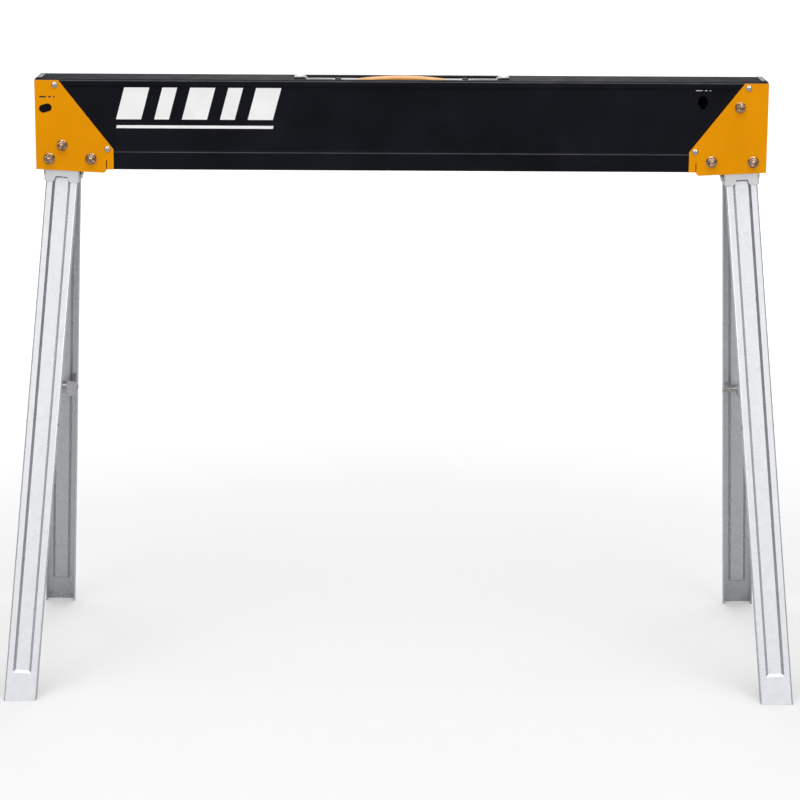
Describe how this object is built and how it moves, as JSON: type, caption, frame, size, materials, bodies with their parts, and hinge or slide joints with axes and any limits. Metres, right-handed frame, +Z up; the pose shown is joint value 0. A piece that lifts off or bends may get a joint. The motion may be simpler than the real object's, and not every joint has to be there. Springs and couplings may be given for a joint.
{
  "type": "folding sawhorse",
  "caption": "Folding steel sawhorse: pressed channel beam with carry grip, orange corner plates, and channel legs that close and fold up inside it.",
  "frame": {"origin": "on the floor, under the middle of the beam", "axes": "+Z up, +X along the beam, +Y to the back"},
  "size_m": [1.0608, 0.4728, 0.8154],
  "materials": {
    "black_coat": "black textured powder coat on pressed steel",
    "orange_coat": "orange powder coat on steel plate",
    "galvanised": "galvanised sheet steel, satin",
    "zinc": "bright zinc-plated fasteners",
    "grip": "orange moulded grip, satin",
    "spacer": "black nylon spacer"
  },
  "bodies": {
    "beam": {"beam": "black_coat", "handle_strap": "galvanised", "handle_grip": "grip", "handle_screw_left": "zinc", "handle_screw_right": "zinc", "end_tab_left": "galvanised", "end_tab_right": "galvanised", "pivot_bolt_left": "zinc", "pivot_nut_left": "zinc", "pivot_spacer_front_left": "spacer", "pivot_spacer_back_left": "spacer", "corner_plate_front_left": "orange_coat", "plate_bolt_front_left_1": "zinc", "plate_rivet_front_left_1": "zinc", "plate_bolt_front_left_2": "zinc", "plate_rivet_front_left_2": "zinc", "corner_plate_back_left": "orange_coat", "plate_bolt_back_left_1": "zinc", "plate_rivet_back_left_1": "zinc", "plate_bolt_back_left_2": "zinc", "plate_rivet_back_left_2": "zinc", "pivot_bolt_right": "zinc", "pivot_nut_right": "zinc", "pivot_spacer_front_right": "spacer", "pivot_spacer_back_right": "spacer", "corner_plate_front_right": "orange_coat", "plate_bolt_front_right_1": "zinc", "plate_rivet_front_right_1": "zinc", "plate_bolt_front_right_2": "zinc", "plate_rivet_front_right_2": "zinc", "corner_plate_back_right": "orange_coat", "plate_bolt_back_right_1": "zinc", "plate_rivet_back_right_1": "zinc", "plate_bolt_back_right_2": "zinc", "plate_rivet_back_right_2": "zinc"},
    "yoke_left": {"yoke_left": "galvanised", "hinge_pin_front_left": "zinc", "hinge_pin_back_left": "zinc"},
    "leg_front_left": {"leg_front_left": "galvanised", "spreader_pin_front_left": "zinc"},
    "link_front_left": {"spreader_link_front_left": "galvanised", "spreader_rivet_left": "zinc"},
    "leg_back_left": {"leg_back_left": "galvanised", "spreader_pin_back_left": "zinc", "spreader_bracket_back_left": "galvanised"},
    "link_back_left": {"spreader_link_back_left": "galvanised"},
    "yoke_right": {"yoke_right": "galvanised", "hinge_pin_front_right": "zinc", "hinge_pin_back_right": "zinc"},
    "leg_front_right": {"leg_front_right": "galvanised", "spreader_pin_front_right": "zinc", "spreader_bracket_front_right": "galvanised"},
    "link_front_right": {"spreader_link_front_right": "galvanised", "spreader_rivet_right": "zinc"},
    "leg_back_right": {"leg_back_right": "galvanised", "spreader_pin_back_right": "zinc"},
    "link_back_right": {"spreader_link_back_right": "galvanised"}
  },
  "joints": [
    {"name": "fold_left", "type": "hinge", "parent": "beam", "child": "yoke_left", "pos_m": [-0.4592, 0, 0.7238], "axis": [0, -1, 0], "range_deg": [0, 93.94]},
    {"name": "splay_front_left", "type": "hinge", "parent": "yoke_left", "child": "leg_front_left", "pos_m": [-0.46207, -0.0134, 0.6821], "axis": [0.9976, 0, -0.0686], "range_deg": [0, 17.86]},
    {"name": "link_front_left", "type": "hinge", "parent": "leg_front_left", "child": "link_front_left", "pos_m": [-0.48454, -0.11395, 0.35546], "axis": [0.9976, 0, -0.0686], "range_deg": [0, 67.74]},
    {"name": "splay_back_left", "type": "hinge", "parent": "yoke_left", "child": "leg_back_left", "pos_m": [-0.46207, 0.0134, 0.6821], "axis": [-0.9976, 0, 0.0686], "range_deg": [0, 17.86]},
    {"name": "link_back_left", "type": "hinge", "parent": "leg_back_left", "child": "link_back_left", "pos_m": [-0.48454, 0.11395, 0.35546], "axis": [-0.9976, 0, 0.0686], "range_deg": [0, 67.74]},
    {"name": "fold_right", "type": "hinge", "parent": "beam", "child": "yoke_right", "pos_m": [0.4572, 0, 0.7796], "axis": [0, 1, 0], "range_deg": [0, 93.8]},
    {"name": "splay_front_right", "type": "hinge", "parent": "yoke_right", "child": "leg_front_right", "pos_m": [0.46367, -0.0134, 0.68222], "axis": [0.9978, 0, 0.0663], "range_deg": [0, 17.86]},
    {"name": "link_front_right", "type": "hinge", "parent": "leg_front_right", "child": "link_front_right", "pos_m": [0.48538, -0.11395, 0.35552], "axis": [0.9978, 0, 0.0663], "range_deg": [0, 67.74]},
    {"name": "splay_back_right", "type": "hinge", "parent": "yoke_right", "child": "leg_back_right", "pos_m": [0.46367, 0.0134, 0.68222], "axis": [-0.9978, 0, -0.0663], "range_deg": [0, 17.86]},
    {"name": "link_back_right", "type": "hinge", "parent": "leg_back_right", "child": "link_back_right", "pos_m": [0.48538, 0.11395, 0.35552], "axis": [-0.9978, 0, -0.0663], "range_deg": [0, 67.74]}
  ],
  "couplings": [
    {"joint": "splay_front_left", "follows": "fold_left", "ratio": 0.18987},
    {"joint": "link_front_left", "follows": "fold_left", "ratio": 0.72087},
    {"joint": "splay_back_left", "follows": "fold_left", "ratio": 0.18987},
    {"joint": "link_back_left", "follows": "fold_left", "ratio": 0.72087},
    {"joint": "splay_front_right", "follows": "fold_right", "ratio": 0.19015},
    {"joint": "link_front_right", "follows": "fold_right", "ratio": 0.72195},
    {"joint": "splay_back_right", "follows": "fold_right", "ratio": 0.19015},
    {"joint": "link_back_right", "follows": "fold_right", "ratio": 0.72195}
  ]
}
